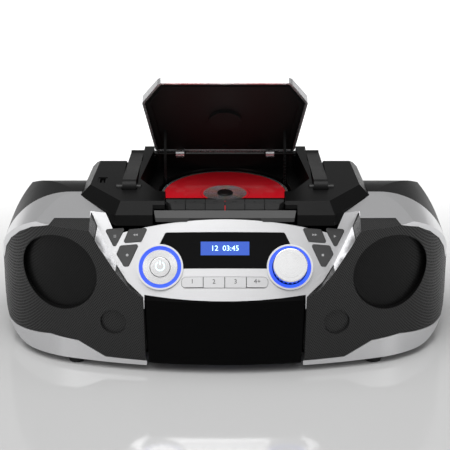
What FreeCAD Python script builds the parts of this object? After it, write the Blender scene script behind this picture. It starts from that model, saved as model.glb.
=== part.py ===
# Portable stereo with a top-loading disc well, a front cassette bay and six piano keys.
# Frame: +X right, the front faces -Y, +Z up, millimetres, origin under the middle of the feet.
import FreeCAD, Part
import math
import os

V = FreeCAD.Vector

# ---- driving sizes: cabinet -------------------------------------------------------------
half_width = 208.0        # widest point of the cabinet, from the middle
half_depth = 112.0        # front and rear of the cabinet, from the middle
foot_height = 6.0         # the cabinet's underside above the table
shoulder_top = 135.0      # top of the cabinet body
bow_radius = 500.0        # bow of the front in plan
corner_run = 68.0         # from the end of the front's bow out to the side
rear_bow_radius = 900.0
rear_corner_run = 98.0
front_lean = 0.06         # the front leans back by this much per millimetre of height
knee_height = 68.0        # above this the control panel leans back
panel_slope_deg = 33.0    # lean of the control panel
shelf_slope = 0.09        # fall of the silver shelf towards the front
shelf_back = -17.0        # the shelf starts to fall in front of this
dome_start = -5.0         # behind this the top rounds down to the rear
dome_radius = 120.0
dome_slope_deg = 25.0
shoulder_radius = 67.0    # rounding of the upper side edges, seen from the front
belly_radius = 34.0       # rounding of the lower side edges
parting_y = -12.0         # joint between the front and the rear mouldings
skin = 2.0                # silver bezel, grilles and lower trims
wall = 2.5                # black mouldings
gap = 0.4                 # visible joint between neighbouring mouldings
slide_gap = 0.35          # clearance round each button

# ---- driving sizes: control panel -------------------------------------------------------
dial_x = 57.0             # standby dial left, volume knob right
dial_z = 93.0
dial_rim = 20.3
ring_outer = 18.6
ring_inner = 15.6
knob_radius = 15.0
knob_reach = 13.0         # how far the knob stands off the panel
power_radius = 8.8
display_top = 120.5
display_bottom = 93.5
preset_left = -38.0
preset_pitch = 18.9
preset_low = 79.0
preset_high = 87.0
button_proud = 0.7
button_travel = 0.9
button_depth = 4.5

# ---- driving sizes: cassette bay --------------------------------------------------------
door_half_top = 70.0
door_half_low = 68.0
door_low = 8.6
door_pin_y = 12.5 - half_depth
door_pin_z = 17.0
pin_radius = 1.5
holder_behind = 11.5      # the cassette holder starts this far behind the front
fit = 0.05                # radial clearance of a turning fit
cassette_half = 51.5
cassette_depth = 13.0
chassis_y = 28.0 - half_depth         # front of the tape mechanism's plate
reel_x = 21.25
reel_z = 42.0
key_count = 6
key_pitch = 17.6
key_front = -60.0
key_back = -38.5
key_low = 136.4
key_crown = 142.0         # highest edge of a key
key_crown_y = -49.5
key_tail = 137.6          # low part of a key behind its crown
key_pin_y = -40.0
key_pin_z = 134.0

# ---- driving sizes: disc well, lid and handle -------------------------------------------
island_top = 144.0        # flat top of the raised deck
disc_y = 25.0
disc_z = 118.0
disc_radius = 60.0
hinge_y = 84.0            # lid hinge
hinge_z = 138.0
lid_length = 118.0
lid_back_half = 67.0
lid_wide_half = 77.0
lid_wide_at = 86.0
lid_front_half = 60.0
lid_thick = 7.0
lid_open_deg = 52.0
arm_radius = 40.0         # toothed arm, measured from the lid hinge
arm_x = 57.0
tooth_module = 1.0
pinion_teeth = 10
well_floor = 115.0
handle_pin_y = -22.0
handle_pin_z = 143.0
handle_inner = 80.5
handle_arm = 12.5
grip_y = 104.0
grip_z = 126.0
grip_radius = 8.0

# ---- driving sizes: speakers and the rest -----------------------------------------------
woofer_x = 147.0
woofer_z = 86.5
woofer_radius = 36.0
port_x = 99.0
port_z = 45.0
port_radius = 13.5
dish_depth = 5.0
baffle_y = -48.0
bay_back = 60.0           # inner wall of the battery bay
contact_count = 6
contact_pitch = 25.0
contact_width = 8.0
contact_reach = 6.6       # how far a contact stands off the bay's wall
contact_z = 34.0
contact_half = 6.0
foot_x = 134.0
foot_front_y = -83.0
foot_rear_y = 78.0
far = 400.0               # longer than the cabinet in any direction
skin_gap = 0.3            # between the silver skins and the black moulding behind them
front_floor = foot_height + skin + skin_gap + wall
rear_floor = foot_height + wall

# ---- driving sizes: deck, lid gear and latch ----
island_plan = [(-97, -67.5), (97, -67.5), (132, -20), (127, 58), (106, 97), (-106, 97),
               (-127, 58), (-132, -20)]
key_half = key_count * key_pitch / 2
bar_front = -66.5         # front face of the bar the keys stand behind
lid_top = island_top + 2.5
mesh_angle_deg = -44.0    # where the pinion meets the arm
arm_low_deg = -50.0
arm_high_deg = lid_open_deg + 2.6
usb_centre = (-112.5, -6.0)

# ---- driving sizes: behind the control panel ----
press_depth = 9.0         # the buttons' stems reach this far in
board_depth = press_depth + 2.2

# ---- driving sizes: tape mechanism ----
flywheel_x, flywheel_z, flywheel_radius = 16.0, 52.0, 20.0
motor_x, motor_z, pulley_radius = -34.0, 44.0, 5.0
belt_y = chassis_y + 5.0

# ---- driving sizes: rear: screws, battery cover and aerial ----
screw_places = [(-150, -40), (150, -40), (-150, 60), (150, 60), (-95, 90), (95, 90)]
screw_radius = 1.5
cover_half = 78.0         # battery cover, from the middle
cover_low = 14.0
cover_high = 60.0
tongue_x = 60.0
tongue_reach = 12.0
antenna_x = 96.0           # pivot of the aerial
antenna_z = 82.0          # middle of the folded aerial
ledge_z = 75.0            # floor of the aerial's recess
ledge_y = 102.0           # rear face of the aerial's recess
mast_radius = 3.2
mast_length = 178.0

# ---- outlines seen from the front, right-hand side, as (x, z) ----
panel_outline = [(72.0, 60.0), (72.5, 69.0), (83.5, 77.5), (94.5, 91.0), (107.5, 111.0),
                 (121.5, 134.0), (160.0, 197.0)]
beyond = half_width + 12.0   # clear of the cabinet sideways
grille_low = [(70.5, 10.6), (106.5, 11.3), (131.0, 24.0), (157.0, 26.3), (192.0, 20.2), (beyond, 20.2)]
grille_high = [(119.0, 130.2), (110.5, 114.5), (97.5, 94.5), (86.5, 81.0), (75.0, 72.5), (72.0, 70.0)]
trim_outline = [(69.5, -20.0), (69.5, 10.2), (106.6, 10.9), (131.1, 23.6), (157.0, 25.9),
                (192.0, 19.8), (beyond, 19.8), (beyond, -20.0)]
source_points = [(-106.5, 119.6), (-88.5, 120.4), (-97.8, 105.4)]
previous_points = [(-85.0, 120.6), (-68.5, 121.4), (-74.0, 111.2), (-90.0, 110.6)]
menu_points = [(-92.6, 107.8), (-76.2, 108.6), (-85.0, 92.4), (-88.8, 92.2), (-95.8, 101.6)]
soft_buttons = {
    "source_button": source_points,
    "previous_button": previous_points,
    "menu_button": menu_points,
    "next_button": [(-x, z) for x, z in reversed(previous_points)],
    "play_button": [(-x, z) for x, z in reversed(source_points)],
    "stop_button": [(-x, z) for x, z in reversed(menu_points)],
}
display_points = [(-52.5, display_top), (52.5, display_top), (58.5, display_top - 10.3),
                  (37.0, display_bottom), (-37.0, display_bottom), (-58.5, display_top - 10.3)]

# ---- drawing helpers --------------------------------------------------------------------
def box(x0, x1, y0, y1, z0, z1):
    return Part.makeBox(x1 - x0, y1 - y0, z1 - z0, V(x0, y0, z0))


def rod(radius, length, start, direction):
    return Part.makeCylinder(radius, length, V(*start), V(*direction))


def tube(outer, inner, length, start, direction):
    return rod(outer, length, start, direction).cut(rod(inner, length, start, direction))


def mirror(shape):
    return shape.mirror(V(0, 0, 0), V(1, 0, 0))


def outline(points, radius=0.0):
    """Closed wire through points, each corner rounded where its two sides leave room."""
    count = len(points)
    starts, ends, mids = [], [], []
    for i in range(count):
        here, before, after = points[i], points[i - 1], points[(i + 1) % count]
        to_before, to_after = before - here, after - here
        angle = to_before.getAngle(to_after)
        reach = 0.0
        if radius > 0 and angle < math.pi - 0.02:
            reach = radius / math.tan(angle / 2)
            reach = min(reach, 0.45 * to_before.Length, 0.45 * to_after.Length)
        to_before.normalize()
        to_after.normalize()
        starts.append(here + to_before * reach)
        ends.append(here + to_after * reach)
        if reach > 0:
            turn = reach * math.tan(angle / 2)
            middle = to_before + to_after
            middle.normalize()
            mids.append(here + middle * (turn / math.sin(angle / 2) - turn))
        else:
            mids.append(None)
    edges = []
    for i in range(count):
        if mids[i] is not None:
            edges.append(Part.Arc(starts[i], mids[i], ends[i]).toShape())
        nxt = (i + 1) % count
        if (starts[nxt] - ends[i]).Length > 1e-6:
            edges.append(Part.LineSegment(ends[i], starts[nxt]).toShape())
    return Part.Wire(edges)


def grown(wire, amount):
    return wire if abs(amount) < 1e-9 else wire.makeOffset2D(amount, 2)


def front_prism(points, y0=-far, y1=far, grow=0.0, radius=0.0):
    """Outline given as (x, z), seen from the front, pushed through in Y."""
    wire = grown(outline([V(x, y0, z) for x, z in points], radius), grow)
    return Part.Face(wire).extrude(V(0, y1 - y0, 0))


def plan_prism(points, z0, z1, grow=0.0, radius=0.0):
    """Outline given as (x, y), seen from above, pushed up in Z."""
    wire = grown(outline([V(x, y, z0) for x, y in points], radius), grow)
    return Part.Face(wire).extrude(V(0, 0, z1 - z0))


def side_prism(points, x0, x1, grow=0.0, radius=0.0):
    """Outline given as (y, z), seen from the side, pushed through in X."""
    wire = grown(outline([V(x0, y, z) for y, z in points], radius), grow)
    return Part.Face(wire).extrude(V(x1 - x0, 0, 0))


def tapered(low_wire, high_wire):
    """Flat-sided solid between two outlines that have the same corners in the same order."""
    low = [v.Point for v in low_wire.OrderedVertexes]
    high = sorted_like(low, [v.Point for v in high_wire.OrderedVertexes])
    faces = [Part.Face(low_wire), Part.Face(high_wire)]
    for i in range(len(low)):
        faces.append(Part.Face(Part.makePolygon([low[i - 1], low[i], high[i], high[i - 1], low[i - 1]])))
    solid = Part.Solid(Part.Shell(faces))
    solid.fix(0.001, 0.001, 0.001)
    return solid if solid.Volume > 0 else solid.reversed()


def sorted_like(wanted, points):
    """For each wanted corner, the given point nearest to it seen from above."""
    return [min(points, key=lambda p: math.hypot(p.x - w.x, p.y - w.y)) for w in wanted]


def both_sides(points):
    """A right-hand outline closed with its mirror image."""
    return points + [(-x, z) for x, z in reversed(points)]


# ---- the cabinet's outer form -----------------------------------------------------------
def bow(x):
    return bow_radius - math.sqrt(bow_radius ** 2 - x * x)


def front_y(x, z):
    return -half_depth + front_lean * (z - foot_height) + bow(x)


def panel_y(x, z):
    knee_y = front_y(0, knee_height)
    return knee_y + math.tan(math.radians(panel_slope_deg)) * (z - knee_height) + bow(x)


def plan_edges(radius, half, start_y, sign, inset):
    """Bow and two corner arcs as one open chain, straight back to the other end."""
    tilt = math.asin(half / radius)
    centre_y = start_y - sign * radius
    join_x = half
    join_y = centre_y + sign * radius * math.cos(tilt)
    corner = (half_width - join_x) / (1 - math.sin(tilt))
    cx = join_x - corner * math.sin(tilt)
    cy = join_y - sign * corner * math.cos(tilt)
    r_bow, r_corner = radius - inset, corner - inset

    def on_bow(angle):
        return V(r_bow * math.sin(angle), centre_y + sign * r_bow * math.cos(angle), 0)

    def on_corner(angle, side):
        return V(side * (cx + r_corner * math.sin(angle)), cy + sign * r_corner * math.cos(angle), 0)

    half_turn = (tilt + math.pi / 2) / 2
    right_end = on_corner(math.pi / 2, 1)
    left_end = on_corner(math.pi / 2, -1)
    back = -sign * far
    edges = [
        Part.Arc(on_bow(-tilt), on_bow(0), on_bow(tilt)).toShape(),
        Part.Arc(on_bow(tilt), on_corner(half_turn, 1), right_end).toShape(),
        Part.LineSegment(right_end, V(right_end.x, back, 0)).toShape(),
        Part.LineSegment(V(right_end.x, back, 0), V(left_end.x, back, 0)).toShape(),
        Part.LineSegment(V(left_end.x, back, 0), left_end).toShape(),
        Part.Arc(left_end, on_corner(half_turn, -1), on_bow(-tilt)).toShape(),
    ]
    return edges


def leaning_front(inset, lean, base_z):
    """Plan outline of the front pushed up along a line that leans back."""
    low, high = -60.0, 300.0
    start_y = front_y(0, base_z)
    face = Part.Face(Part.Wire(plan_edges(bow_radius, half_width - corner_run, start_y, -1, inset)))
    face.translate(V(0, -lean * (base_z - low), low))
    return face.extrude(V(0, lean * (high - low), high - low))


def rear_form(inset):
    edges = plan_edges(rear_bow_radius, half_width - rear_corner_run, half_depth, 1, inset)
    face = Part.Face(Part.Wire(edges))
    face.translate(V(0, 0, -60))
    return face.extrude(V(0, 0, 360))


def end_form(inset):
    """The cabinet seen from the front: flat top and bottom, round shoulders and belly."""
    side = half_width - inset
    top = shoulder_top - inset
    low = foot_height + inset
    r_top = shoulder_radius - inset
    r_low = belly_radius - inset
    s = math.sqrt(0.5)
    cx_top, cz_top = side - r_top, top - r_top
    cx_low, cz_low = side - r_low, low + r_low

    def arc(cx, cz, r, a, b, c):
        ends = [V(cx + r * p, -far, cz + r * q) for p, q in (a, b, c)]
        return Part.Arc(*ends).toShape()

    edges = [
        Part.LineSegment(V(-cx_top, -far, top), V(cx_top, -far, top)).toShape(),
        arc(cx_top, cz_top, r_top, (0, 1), (s, s), (1, 0)),
        Part.LineSegment(V(side, -far, cz_top), V(side, -far, cz_low)).toShape(),
        arc(cx_low, cz_low, r_low, (1, 0), (s, -s), (0, -1)),
        Part.LineSegment(V(cx_low, -far, low), V(-cx_low, -far, low)).toShape(),
        arc(-cx_low, cz_low, r_low, (0, -1), (-s, -s), (-1, 0)),
        Part.LineSegment(V(-side, -far, cz_low), V(-side, -far, cz_top)).toShape(),
        arc(-cx_top, cz_top, r_top, (-1, 0), (-s, s), (0, 1)),
    ]
    return Part.Face(Part.Wire(edges)).extrude(V(0, 2 * far, 0))


def side_form(inset):
    """The cabinet seen from the side: falling shelf, flat top, dome down to the rear."""
    top = shoulder_top - inset
    low = foot_height + inset
    slope = math.radians(dome_slope_deg)
    r = dome_radius - inset
    cz = shoulder_top - dome_radius
    mid = V(0, dome_start + r * math.sin(slope / 2), cz + r * math.cos(slope / 2))
    end = V(0, dome_start + r * math.sin(slope), cz + r * math.cos(slope))
    run = far - end.y
    tail = V(0, far, end.z - run * math.tan(slope))
    corners = [V(0, far, low - far), V(0, -far, low - far), V(0, -far, low), V(0, -far, top)]
    front_end = V(0, -far, top - shelf_slope * (far + shelf_back))
    shelf = V(0, shelf_back, top)
    crest = V(0, dome_start, top)
    edges = [
        Part.LineSegment(front_end, shelf).toShape(),
        Part.LineSegment(shelf, crest).toShape(),
        Part.Arc(crest, mid, end).toShape(),
        Part.LineSegment(end, tail).toShape(),
        Part.LineSegment(tail, corners[0]).toShape(),
        Part.LineSegment(corners[0], corners[1]).toShape(),
        Part.LineSegment(corners[1], front_end).toShape(),
    ]
    face = Part.Face(Part.Wire(edges))
    face.translate(V(-far, 0, 0))
    return face.extrude(V(2 * far, 0, 0))


def panel_room(inset):
    """What is taken off the front so that the control panel leans back between the pods."""
    room = front_prism(both_sides(panel_outline), -far, 0, inset)
    leaning = leaning_front(inset, math.tan(math.radians(panel_slope_deg)), knee_height)
    return room.cut(leaning)


bodies = {}


def body(inset):
    """The whole cabinet as a solid, each face moved in by inset."""
    if inset not in bodies:
        form = leaning_front(inset, front_lean, foot_height).common(rear_form(inset))
        form = form.common(end_form(inset)).common(side_form(inset))
        bodies[inset] = form.cut(panel_room(inset))
    return bodies[inset]


def shell(outer, inner):
    return body(outer).cut(body(inner))


# ---- shared places ----------------------------------------------------------------------
slope = math.radians(panel_slope_deg)
panel_out = V(0, -math.cos(slope), math.sin(slope))


def panel_prism(points, back, front, grow=0.0, radius=0.0):
    """Outline on the leaning panel, given as (x, z), pushed along the panel's normal."""
    middle = sum(x for x, z in points) / len(points)
    wire = grown(outline([V(x, panel_y(0, z) + bow(middle), z) for x, z in points], radius), grow)
    face = Part.Face(wire)
    face.translate(panel_out * -back)
    return face.extrude(panel_out * (back + front))


def panel_rod(radius, x, z, back, front):
    start = V(x, panel_y(x, z), z) - panel_out * back
    return Part.makeCylinder(radius, back + front, start, panel_out)


def panel_tube(outer, inner, x, z, back, front):
    return panel_rod(outer, x, z, back, front).cut(panel_rod(inner, x, z, back, front))


def front_zone(y):
    return box(-far, far, -far, y, -far, far)


def door_top(x):
    return knee_height + 1.0 + 3.0 * (x / door_half_top) ** 2


def door_points(shrink):
    top = [(x, door_top(x) - shrink) for x in (door_half_top - shrink, 50.0, 30.0, 10.0)]
    return both_sides([(door_half_low - shrink, door_low)] + top)


def grille_outline():
    """Right-hand grille seen from the front; its upper outer edge follows the shoulder."""
    rim = shoulder_radius - 4.0
    centre_x, centre_z = half_width - shoulder_radius, shoulder_top - shoulder_radius
    angles = [math.radians(a) for a in (84, 70, 56, 42, 28, 9)]
    arc = [(centre_x + rim * math.sin(a), centre_z + rim * math.cos(a)) for a in angles]
    return grille_low + [(beyond, arc[0][1])] + arc + grille_high


# ---- silver and grille skins --------------------------------------------------------------


def preset_points(index):
    left = preset_left + preset_pitch * index + (0.3 if index else 0)
    right = preset_left + preset_pitch * (index + 1) - (0.3 if index < 3 else 0)
    return [(left, preset_low), (right, preset_low), (right, preset_high), (left, preset_high)]


def preset_block(grow, back, front):
    """The four preset buttons together: one stadium shape."""
    right = preset_left + 4 * preset_pitch
    points = [(preset_left, preset_low), (right, preset_low), (right, preset_high),
              (preset_left, preset_high)]
    return panel_prism(points, back, front, grow, (preset_high - preset_low) / 2)


def silver_bezel():
    zone = front_prism([(-far, knee_height - 8), (far, knee_height - 8), (far, far), (-far, far)])
    low_edge = [(x, door_top(x)) for x in (70.8, 50.0, 30.0, 10.0)]
    zone = zone.cut(front_prism(both_sides([(70.8, -far)] + low_edge)))
    piece = shell(0, skin).common(zone).common(front_zone(parting_y - gap / 2))
    grille = front_prism(grille_outline(), -far, far, gap)
    piece = piece.cut(grille).cut(mirror(grille)).cut(island(-gap, shoulder_top - 30))
    for side in (-1, 1):
        seat = panel_tube(dial_rim, ring_outer + 0.1, side * dial_x, dial_z, 9.0, 3.0)
        piece = piece.cut(panel_rod(ring_outer + 0.1, side * dial_x, dial_z, 12, 20)).fuse(seat)
    for points in soft_buttons.values():
        piece = piece.cut(panel_prism(points, 12, 12, slide_gap, 1.6))
    window = panel_prism(display_points, 12, 12, gap / 2, 2.0)
    for side in (-1, 1):
        window = window.cut(panel_rod(dial_rim, side * dial_x, dial_z, 14, 14))
    piece = piece.cut(window)
    return piece.cut(preset_block(slide_gap, 12, 12))


def display_window():
    pane = panel_prism(display_points, 12, 12, 0, 2.0).common(shell(0.2, skin + 0.6))
    for side in (-1, 1):
        pane = pane.cut(panel_rod(dial_rim + gap, side * dial_x, dial_z, 14, 14))
    return pane


def grille():
    """Right-hand grille with a round dish over the woofer and a smaller one over the port."""
    outer, inner = 0.3, skin + 0.2
    face = shell(outer, inner).common(front_zone(parting_y - gap / 2))
    face = face.common(front_prism(grille_outline()))
    for x, z, radius, depth in ((woofer_x, woofer_z, woofer_radius, dish_depth),
                                (port_x, port_z, port_radius, dish_depth - 2)):
        through = rod(radius, far, (x, -far, z), (0, 1, 0))
        hollow = rod(radius - 2.0, far, (x, -far, z), (0, 1, 0))
        dish = shell(depth, depth + inner - outer).common(through)
        rim = shell(outer, depth + inner - outer).common(through).cut(hollow)
        face = face.cut(through).fuse(dish.fuse(rim))
    return face.removeSplitter()


def lower_trims():
    trim = shell(0, skin).common(front_zone(parting_y - gap / 2)).common(front_prism(trim_outline))
    for x, y in screw_places:
        trim = trim.cut(rod(3.6, 10, (x, y, foot_height - 1), (0, 0, 1)))
    return Part.makeCompound([trim, mirror(trim)])


# ---- front and rear mouldings -------------------------------------------------------------


def screw_boss(x, y):
    return tube(4.5, screw_radius + 0.1, 16, (x, y, foot_height + wall - 0.2), (0, 0, 1))


def screw_hole(x, y):
    hole = rod(3.3, 1.6, (x, y, foot_height - 1), (0, 0, 1))
    return hole.fuse(rod(screw_radius + 0.1, 12, (x, y, foot_height - 1), (0, 0, 1)))


def cabinet_screws():
    solids = []
    for x, y in screw_places:
        head = rod(3.0, 0.4, (x, y, foot_height + 0.1), (0, 0, 1))
        shank = rod(screw_radius, 14, (x, y, foot_height + 0.5), (0, 0, 1))
        solids.append(head.fuse(shank))
    return Part.makeCompound(solids)


def front_cabinet():
    """Black front moulding behind the skins: floor, baffle, port tubes and bay walls."""
    inner = skin + skin_gap
    piece = shell(inner, inner + wall).common(front_zone(parting_y - gap / 2))
    behind_grille = front_prism(grille_outline(), -far, far, -5.0)
    piece = piece.cut(behind_grille).cut(mirror(behind_grille))
    piece = piece.cut(island(-1.0, shoulder_top - 40))
    piece = piece.cut(front_prism(door_points(-1.2), -far, -60))
    piece = piece.cut(box(-72, 72, -far, door_pin_y + 14, 0, 20))
    panel = [(-62, 66), (62, 66), (112, 92), (118, 104), (118, 134), (-118, 134), (-118, 104), (-112, 92)]
    piece = piece.cut(panel_prism(panel, 26, 12))
    baffle = box(78, 200, baffle_y, baffle_y + 3, 8, 128).common(body(inner + 0.5))
    baffle = baffle.cut(rod(woofer_radius + 3, 20, (woofer_x, baffle_y - 5, woofer_z), (0, 1, 0)))
    port = tube(port_radius, port_radius - 2, 45, (port_x, -90, port_z), (0, 1, 0))
    port_hole = rod(port_radius - 1, 20, (port_x, baffle_y - 5, port_z), (0, 1, 0))
    bay_wall = box(74, 76, -100, baffle_y + 3, 8, 66).common(body(inner + 0.5))
    for side in (False, True):
        extra = baffle.cut(port_hole).fuse(port).fuse(bay_wall)
        piece = piece.fuse(mirror(extra) if side else extra)
    for x, y in screw_places:
        if y < parting_y:
            piece = piece.fuse(screw_boss(x, y)).cut(screw_hole(x, y))
    return piece.removeSplitter()


def rear_opening(grow):
    return box(-cover_half - grow, cover_half + grow, half_depth - 14, far,
               cover_low - grow, cover_high + grow)


def antenna_ledge(grow):
    return box(-far, far, ledge_y - grow, far, ledge_z - grow, far)


def rear_cabinet():
    """Black rear moulding with the battery bay, the aerial ledge and its sockets' holes."""
    outer = body(0).cut(antenna_ledge(0))
    inner = body(wall).cut(antenna_ledge(wall))
    piece = outer.cut(inner).cut(front_zone(parting_y + gap / 2))
    piece = piece.cut(island(-gap, shoulder_top - 60))
    bay = box(-cover_half - 4, cover_half + 4, 58, 110.5, 8, cover_high + 5)
    bay_room = box(-cover_half - 2, cover_half + 2, bay_back, far, 10.5, cover_high + 3)
    piece = piece.fuse(bay.cut(bay_room)).cut(rear_opening(gap))
    for index in range(7):
        x = 112 + 6 * index
        piece = piece.cut(box(x, x + 2.5, 40, far, 40, 68))
        piece = piece.cut(box(-x - 2.5, -x, 40, far, 40, 68))
    piece = piece.cut(box(-106.2, -85.8, 90, far, 25.8, 46.2))
    for z in (30.0, 44.0):
        piece = piece.cut(rod(4.1, 60, (94, 80, z), (0, 1, 0)))
    piece = piece.fuse(antenna_bracket())
    for x, y in screw_places:
        if y > parting_y:
            piece = piece.fuse(screw_boss(x, y)).cut(screw_hole(x, y))
    return piece.removeSplitter()


# ---- raised deck ---------------------------------------------------------------------------


def lid_plan():
    """The closed lid seen from above."""
    back = hinge_y + 3
    return [(-lid_back_half, back), (-lid_wide_half, hinge_y - lid_wide_at),
            (-lid_front_half, hinge_y - lid_length), (lid_front_half, hinge_y - lid_length),
            (lid_wide_half, hinge_y - lid_wide_at), (lid_back_half, back)]


def island(inset, low):
    """The raised deck as a solid: tapered rim, flat top, shoulders falling to the rear."""
    top = island_top - inset
    side = outline([V(x, y, shoulder_top - 1) for x, y in island_plan])
    base = grown(side, -inset)
    crown = grown(side, -inset - 9.0)
    crown.translate(V(0, 0, top - shoulder_top + 1))
    upper = tapered(base, crown)
    lower = Part.Face(base).extrude(V(0, 0, low - shoulder_top + 1))
    whole = lower.fuse(upper)
    fall = [(-far, low), (-far, far), (46, far), (46, top), (grip_y, top - 28.5),
            (far, top - 28.5), (far, low)]
    middle_back = hinge_y + 5.5 - inset
    keep = side_prism(fall, -far, far)
    hump = box(-lid_wide_half - 1.5 + inset, lid_wide_half + 1.5 - inset, -far, middle_back, low, far)
    return whole.common(keep.fuse(hump)).removeSplitter()


def well_room():
    """Everything taken out of the deck above the well's floor."""
    rim = plan_prism(lid_plan(), disc_z + 4, far, 1.0, 6.0)
    dish = rod(disc_radius + 2.5, far, (0, disc_y, well_floor), (0, 0, 1))
    arms = Part.makeCompound([arm_slot(-1), arm_slot(1)])
    hole = rod(16.0, 20, (0, disc_y, well_floor - 10), (0, 0, 1))
    laser = box(14, 62, disc_y - 6.0, disc_y + 6.0, well_floor - 10, well_floor + 1)
    return rim.fuse([dish, hole, laser]), arms


def arm_slot(side):
    x = side * arm_x
    back = hinge_y - 0.6 * arm_radius
    return box(x - 2.4, x + 2.4, hinge_y - arm_radius + 0.5, back, well_floor - 20, disc_z + 6)


def handle_room():
    """Channels for the two arms and the ledge for the grip."""
    run_y, run_z = grip_y - handle_pin_y, grip_z - handle_pin_z
    length = math.hypot(run_y, run_z)
    along = V(0, run_y / length, run_z / length)
    up = V(0, -along.z, along.y)
    pin = V(0, handle_pin_y, handle_pin_z)
    rooms = []
    for side in (-1, 1):
        x0 = handle_inner - 0.7
        x1 = handle_inner + handle_arm + 0.7
        corners = [pin - along * 0.01 - up * 9.2, pin + along * 140 - up * 9.2, pin + along * 140 + up * 60,
                   pin - along * 0.01 + up * 60]
        room = side_prism([(c.y, c.z) for c in corners], x0, x1)
        room = room.fuse(rod(9.2, x1 - x0, (x0, pin.y, pin.z), (1, 0, 0)))
        room = room.fuse(box(x0, x1, pin.y - 9.2, pin.y, pin.z, pin.z + 30))
        rooms.append(mirror(room) if side < 0 else room)
    grip = box(-96, 96, hinge_y + 5.5 + 1.0, far, grip_z - grip_radius - 2.0, far)
    return rooms[0].fuse([rooms[1], grip])


def top_deck():
    """Raised deck moulding: shell, disc well with its floor, key slot and handle channels."""
    low = shoulder_top - 32
    piece = island(0, low).cut(body(0))
    hollow = island(wall, low - 10)
    piece = piece.cut(hollow)
    well = box(-lid_wide_half - 4, lid_wide_half + 4, hinge_y - lid_length - 3, hinge_y + 5.5,
               well_floor - 2.5, far).common(island(0, low - 20))
    channels = box(-handle_inner - handle_arm - 3, handle_inner + handle_arm + 3,
                   handle_pin_y - 12, grip_y + 3, well_floor - 7, far).common(island(0, low - 20))
    channels = channels.cut(box(-lid_wide_half - 1.5, lid_wide_half + 1.5, -far, far, 0, far))
    piece = piece.fuse(well).fuse(channels)
    room, arms = well_room()
    piece = piece.cut(room).cut(handle_room()).cut(arms)
    keys = box(-key_half - 0.6, key_half + 0.6, key_front - 1.2, key_back + 0.6, 60, far)
    piece = piece.cut(keys).cut(box(-64, 64, -far, key_front - 1.0, 60, far))
    piece = piece.cut(box(-far, far, -far, key_back - 1, 0, shoulder_top - 11))
    pins = rod(pin_radius + fit, 2 * far, (-far, hinge_y, hinge_z), (1, 0, 0))
    handle_pins = rod(3.0 + fit, 2 * far, (-far, handle_pin_y, handle_pin_z), (1, 0, 0))
    handle_pins = handle_pins.common(box(-99, 99, -far, far, 0, far))
    piece = piece.cut(pins.common(box(-73, 73, -far, far, 0, far)))
    piece = piece.cut(handle_pins.cut(box(-76, 76, -far, far, 0, far)))
    well_edge = disc_y - 0.5 * disc_radius
    piece = piece.cut(box(-key_half - 0.6, key_half + 0.6, key_back, well_edge, key_tail, far))
    key_shaft_room = rod(pin_radius + fit, 2 * key_half + 8, (-key_half - 4, key_pin_y, key_pin_z), (1, 0, 0))
    piece = piece.cut(key_shaft_room)
    tail = box(-lid_back_half - 2, lid_back_half + 2, hinge_y - 6, far, hinge_z - 2, far)
    return piece.cut(tail).cut(usb_seat(0.2)).removeSplitter()


def usb_seat(grow):
    x, y = usb_centre
    return box(x - 4 - grow, x + 4 + grow, y - 7 - grow, y + 7 + grow, 128, island_top + 10)


def key_trim():
    """Dark bar under the keys, sloping down to the silver panel."""
    section = [(bar_front - 2, 128.0), (bar_front - 0.2, 131.0), (key_front - 1.2, key_low - 0.4),
               (key_front - 1.2, 128.0)]
    bar = side_prism(section, -63.4, 63.4)
    ends = plan_prism([(-60.5, bar_front - 4), (60.5, bar_front - 4), (63.4, key_front),
                       (-63.4, key_front)], 100, 160)
    return bar.common(ends).cut(body(-0.3).common(front_zone(bar_front - 0.2)))


# ---- control panel pieces ------------------------------------------------------------------


def panel_button(points, radius):
    """A cap with a crisp outline and a stem that reaches the switch behind it."""
    cap = panel_prism(points, 12, 12, 0, radius).common(shell(-button_proud, button_depth))
    middle_x = sum(x for x, z in points) / len(points)
    middle_z = sum(z for x, z in points) / len(points)
    stem = panel_rod(2.0, middle_x, middle_z, press_depth, 0).common(body(button_depth - 1))
    return cap.fuse(stem).removeSplitter()


def preset_button(index):
    """One quarter of the preset row; the end ones are round on their outer side."""
    points = preset_points(index)
    cap = panel_prism(points, 12, 12).common(preset_block(0, 12, 12))
    cap = cap.common(shell(-button_proud, button_depth))
    middle = sum(x for x, z in points) / 4
    stem = panel_rod(2.0, middle, (preset_low + preset_high) / 2, press_depth, 0)
    return cap.fuse(stem.common(body(button_depth - 1))).removeSplitter()


def light_rings():
    rings = [panel_tube(ring_outer, ring_inner, side * dial_x, dial_z, 2.0, 1.6) for side in (-1, 1)]
    return Part.makeCompound(rings)


def standby_plate():
    return panel_tube(ring_inner - 0.3, power_radius + slide_gap, -dial_x, dial_z, 2.0, 2.4)


def power_button():
    cap = panel_rod(power_radius, -dial_x, dial_z, 2.0, 2.8)
    cap = cap.makeFillet(0.4, top_edges(cap, -dial_x, 2.8))
    return cap.fuse(panel_rod(3.0, -dial_x, dial_z, press_depth, 0))


def top_edges(solid, x, front):
    """Edges that lie at the given distance in front of the panel at a dial's middle."""
    level = (V(x, panel_y(x, dial_z), dial_z) + panel_out * front).dot(panel_out)
    return [e for e in solid.Edges if all(abs(v.Point.dot(panel_out) - level) < 0.01 for v in e.Vertexes)
            and e.CenterOfMass.dot(panel_out) > level - 0.01]


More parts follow.
